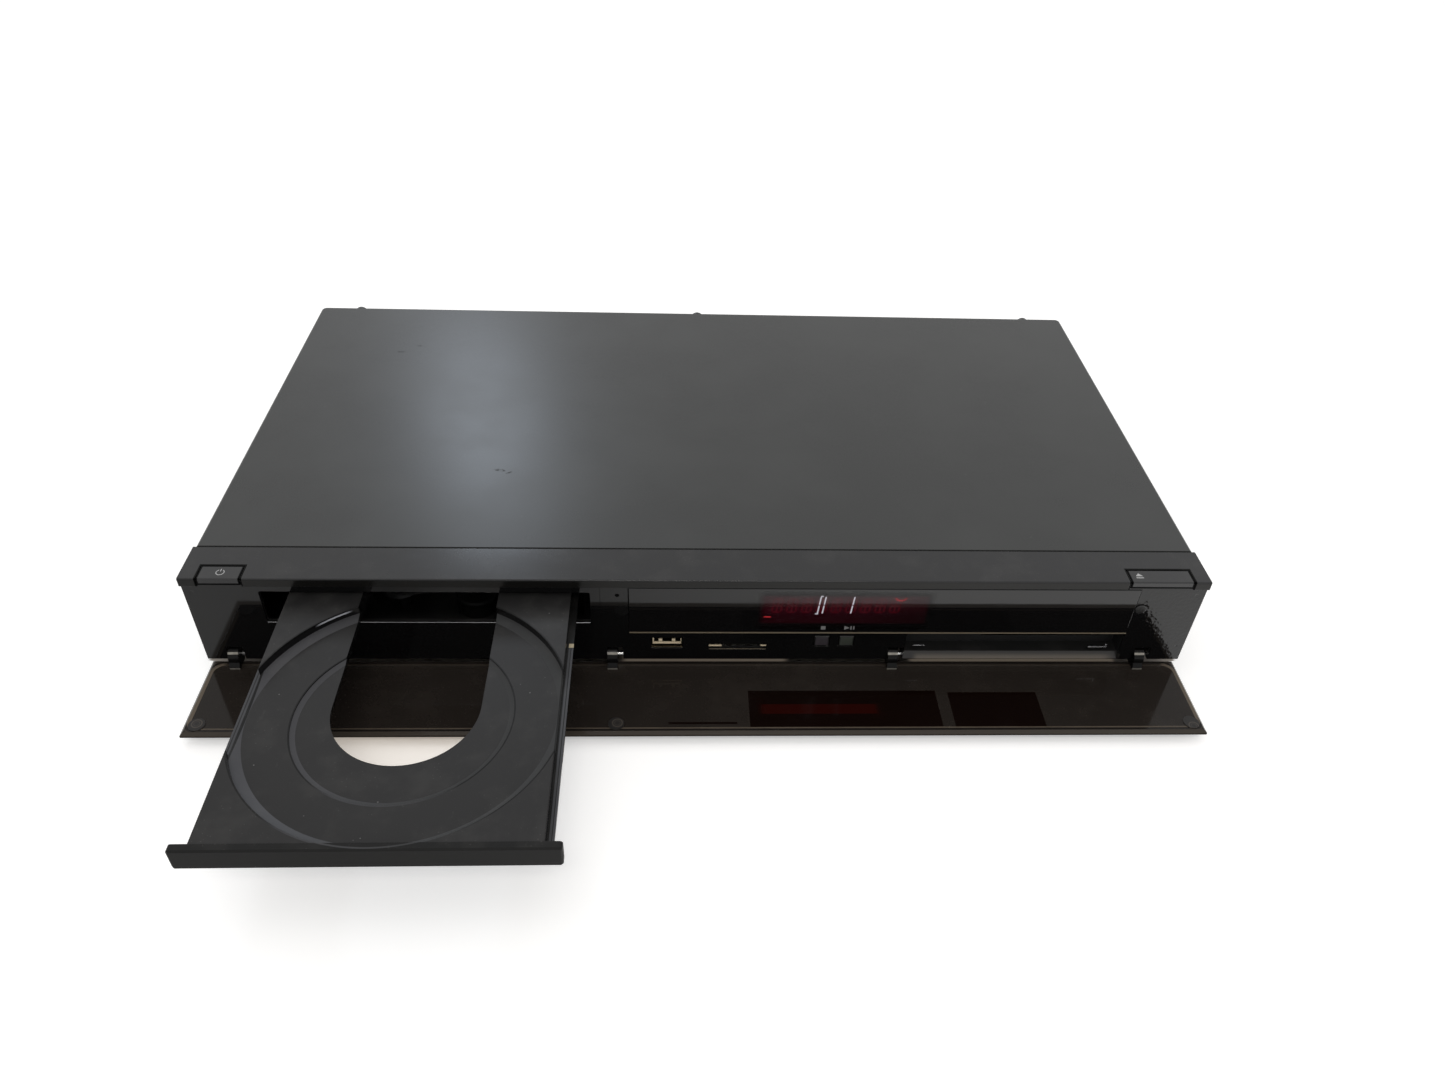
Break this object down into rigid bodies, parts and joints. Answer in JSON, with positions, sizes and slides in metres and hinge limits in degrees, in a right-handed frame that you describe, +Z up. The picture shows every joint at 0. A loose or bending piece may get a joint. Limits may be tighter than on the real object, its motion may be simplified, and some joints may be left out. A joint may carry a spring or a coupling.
{
  "type": "disc recorder",
  "caption": "Full-width disc recorder with a sliding disc tray, a fold-down smoked front door on a hinge rod, sprung buttons, lit display window, sockets and a disc drive inside.",
  "frame": {"origin": "middle of the whole object's bounding box in X and Y, at the level of the feet", "axes": "+X to the right seen from the front, +Y to the back, +Z up"},
  "size_m": [0.43, 0.3622, 0.059],
  "materials": {
    "cover_paint": "satin, fine texture",
    "galvanised": "zinc plated",
    "rear_paint": "satin",
    "foot_plastic": "moulded",
    "rubber_black": "matte",
    "screw_black": "black zinc",
    "gloss_black": "piano black",
    "button_grey": "gloss",
    "smoked_window": "smoked, gloss",
    "smoked_door": "smoked, gloss",
    "tube_glass": "clear",
    "board_green": "solder mask",
    "board_tan": "bare board",
    "switch_plastic": "moulded",
    "connector_metal": "plated",
    "steel_rod": "ground",
    "tray_plastic": "fine satin",
    "drive_plastic": "moulded",
    "gear_white": "acetal",
    "motor_can": "plated",
    "turntable_plastic": "rubber ring",
    "sled_metal": "die cast",
    "lens_glass": "coated",
    "disk_metal": "cast",
    "transformer_yellow": "tape",
    "capacitor_sleeve": "shrink sleeve",
    "phono_block": "moulded"
  },
  "bodies": {
    "chassis": {"top_cover": "cover_paint", "bottom_chassis": "galvanised", "rear_panel": "rear_paint", "feet": "foot_plastic", "foot_pads": "rubber_black", "cover_screws": "screw_black", "front_panel": "gloss_black", "display_window": "smoked_window", "display_tube": "tube_glass", "display_board": "board_green", "port_board": "board_green", "key_switches": "switch_plastic", "usb_shell": "connector_metal", "usb_tongue": "switch_plastic", "card_socket": "connector_metal", "module_cage": "galvanised", "drive_frame": "drive_plastic", "clamp_bridge": "galvanised", "loading_motor": "motor_can", "drive_belt": "rubber_black", "disk_bracket": "galvanised", "hard_disk": "disk_metal", "main_board": "board_green", "heat_sink": "disk_metal", "power_board": "board_tan", "transformer": "transformer_yellow", "capacitors": "capacitor_sleeve", "fan_frame": "drive_plastic", "aerial_sockets": "connector_metal", "hdmi_socket": "connector_metal", "network_socket": "switch_plastic", "optical_socket": "switch_plastic", "phono_sockets": "phono_block", "power_inlet": "switch_plastic"},
    "tray": {"tray": "tray_plastic"},
    "hinge_rod": {"hinge_rod": "steel_rod"},
    "door": {"door_panel": "smoked_door", "door_ears": "gloss_black", "door_pads": "rubber_black"},
    "power_button": {"power_button": "button_grey"},
    "open_button": {"open_button": "button_grey"},
    "stop_key": {"stop_key": "gloss_black"},
    "play_key": {"play_key": "gloss_black"},
    "loading_wheel": {"loading_wheel": "gear_white"},
    "idler_pulley": {"idler_pulley": "gear_white"},
    "motor_pulley": {"motor_pulley": "gear_white"},
    "carrier": {"carrier_frame": "galvanised", "spindle_motor": "motor_can", "guide_rods": "steel_rod", "sled_motor": "motor_can"},
    "cam_slider": {"cam_slider": "gear_white"},
    "turntable": {"turntable": "turntable_plastic"},
    "sled": {"pickup_sled": "sled_metal", "pickup_lens": "lens_glass"},
    "lead_screw": {"lead_screw": "steel_rod"},
    "clamp_puck": {"clamp_puck": "drive_plastic"},
    "fan_rotor": {"fan_rotor": "drive_plastic"}
  },
  "joints": [
    {"name": "tray_slide", "type": "slide", "parent": "chassis", "child": "tray", "axis": [0, -1, 0], "range_m": [-0.125, 0]},
    {"name": "rod_turn", "type": "hinge", "parent": "chassis", "child": "hinge_rod", "pos_m": [0, -0.05325, 0.01145], "axis": [1, 0, 0], "range_deg": [-50.01, 0]},
    {"name": "door_hinge", "type": "hinge", "parent": "hinge_rod", "child": "door", "pos_m": [0, -0.05325, 0.01145], "axis": [1, 0, 0], "range_deg": [-40, 0]},
    {"name": "power_press", "type": "slide", "parent": "chassis", "child": "power_button", "axis": [0, 0, -1], "range_m": [0, 0.0007], "stiffness_N_per_m": 500},
    {"name": "open_press", "type": "slide", "parent": "chassis", "child": "open_button", "axis": [0, 0, -1], "range_m": [0, 0.0007], "stiffness_N_per_m": 500},
    {"name": "stop_press", "type": "slide", "parent": "chassis", "child": "stop_key", "axis": [0, 1, 0], "range_m": [0, 0.0007], "stiffness_N_per_m": 500},
    {"name": "play_press", "type": "slide", "parent": "chassis", "child": "play_key", "axis": [0, 1, 0], "range_m": [0, 0.0007], "stiffness_N_per_m": 500},
    {"name": "loading_wheel_spin", "type": "hinge", "parent": "chassis", "child": "loading_wheel", "pos_m": [-0.1531, -0.0239, 0.0312], "axis": [0, 0, 1], "range_deg": [-716.3, 0.1]},
    {"name": "idler_spin", "type": "hinge", "parent": "chassis", "child": "idler_pulley", "pos_m": [-0.1363, -0.0239, 0.0252], "axis": [0, 0, 1], "range_deg": [-0.1, 1790.59]},
    {"name": "motor_spin", "type": "hinge", "parent": "chassis", "child": "motor_pulley", "pos_m": [-0.1026, -0.0239, 0.0252], "axis": [0, 0, 1], "range_deg": [-0.1, 3966.38]},
    {"name": "carrier_lift", "type": "hinge", "parent": "chassis", "child": "carrier", "pos_m": [-0.1146, 0.0901, 0.036], "axis": [1, 0, 0], "range_deg": [-3.2, 0]},
    {"name": "cam_slide", "type": "slide", "parent": "chassis", "child": "cam_slider", "axis": [1, 0, 0], "range_m": [-0.00001, 0.01401]},
    {"name": "turntable_spin", "type": "hinge", "parent": "carrier", "child": "turntable", "pos_m": [-0.1146, 0.00581, 0.0424], "axis": [0, -0.0558, 0.9984], "continuous": true},
    {"name": "sled_slide", "type": "slide", "parent": "carrier", "child": "sled", "axis": [0, 0.9984, 0.0558], "range_m": [0, 0.034]},
    {"name": "lead_screw_spin", "type": "hinge", "parent": "carrier", "child": "lead_screw", "pos_m": [-0.0788, 0.02143, 0.02815], "axis": [0, 0.9984, 0.0558], "range_deg": [-0.1, 4080.1]},
    {"name": "puck_spin", "type": "hinge", "parent": "chassis", "child": "clamp_puck", "pos_m": [-0.1146, 0.0063, 0.051], "axis": [0, 0, 1], "continuous": true},
    {"name": "fan_spin", "type": "hinge", "parent": "chassis", "child": "fan_rotor", "pos_m": [-0.105, 0.1671, 0.034], "axis": [0, 1, 0], "continuous": true}
  ],
  "couplings": [
    {"joint": "rod_turn", "follows": "tray_slide", "rad_per_m": 6.9813},
    {"joint": "loading_wheel_spin", "follows": "tray_slide", "rad_per_m": 100},
    {"joint": "idler_spin", "follows": "tray_slide", "rad_per_m": -250},
    {"joint": "motor_spin", "follows": "tray_slide", "rad_per_m": -553.8},
    {"joint": "cam_slide", "follows": "carrier_lift", "m_per_rad": -0.25067},
    {"joint": "lead_screw_spin", "follows": "sled_slide", "rad_per_m": 2094.4}
  ]
}
